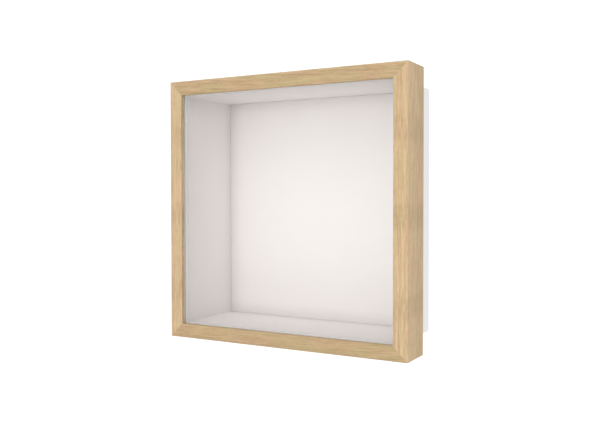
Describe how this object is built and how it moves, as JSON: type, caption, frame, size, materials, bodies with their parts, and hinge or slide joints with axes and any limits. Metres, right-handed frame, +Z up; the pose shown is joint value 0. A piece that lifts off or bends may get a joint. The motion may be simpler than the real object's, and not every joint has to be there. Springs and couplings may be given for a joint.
{
  "type": "wall mounted showcase",
  "caption": "Shallow square wall showcase: a white case with a glazed light oak frame that swings forward on a continuous hinge and locks from below.",
  "frame": {"origin": "centre of the case's back face, in the plane of the wall", "axes": "+Y points back into the wall, +X to the right seen from the front, +Z up"},
  "size_m": [0.6, 0.2, 0.6],
  "materials": {
    "oak": "satin clear lacquer on light oak",
    "beech": "planed",
    "white_bead": "matt white paint",
    "white_case": "matt white powder coat",
    "white_panel": "matt white coating",
    "white_foam": "closed cell foam tape",
    "seal_rubber": "soft matt",
    "glass": "clear low-iron, low-reflection",
    "grey_plastic": "matt",
    "white_enamel": "steel screws with white enamelled heads",
    "zinc_steel": "bright zinc",
    "hinge_steel": "brushed stainless",
    "lock_chrome": "polished nickel"
  },
  "bodies": {
    "case": {"case_body": "white_case", "back_panel": "white_panel", "panel_magnets": "zinc_steel", "hinge_case_leaf": "hinge_steel", "hinge_pin": "hinge_steel", "hinge_case_screws": "zinc_steel", "lock_keeper": "zinc_steel", "keeper_screws": "zinc_steel"},
    "door": {"frame_top_rail": "oak", "frame_right_stile": "oak", "frame_bottom_rail": "oak", "frame_left_stile": "oak", "mitre_tongues": "beech", "glazing_tape": "white_foam", "glass_pane": "glass", "setting_blocks": "grey_plastic", "glazing_bead_top": "white_bead", "glazing_bead_right": "white_bead", "glazing_bead_bottom": "white_bead", "glazing_bead_left": "white_bead", "bead_screws": "white_enamel", "door_seal": "seal_rubber", "hinge_frame_leaf": "hinge_steel", "hinge_frame_screws": "zinc_steel", "lock_barrel": "lock_chrome", "lock_nut": "zinc_steel"},
    "lock": {"lock_plug": "lock_chrome", "lock_cam": "zinc_steel", "cam_screw": "zinc_steel"}
  },
  "joints": [
    {"name": "door_swing", "type": "hinge", "parent": "case", "child": "door", "pos_m": [-0.2735, -0.1105, 0], "axis": [0, 0, -1], "range_deg": [0, 95]},
    {"name": "lock_turn", "type": "hinge", "parent": "door", "child": "lock", "pos_m": [0.23, -0.1515, -0.29], "axis": [0, 0, 1], "range_deg": [0, 90]}
  ]
}
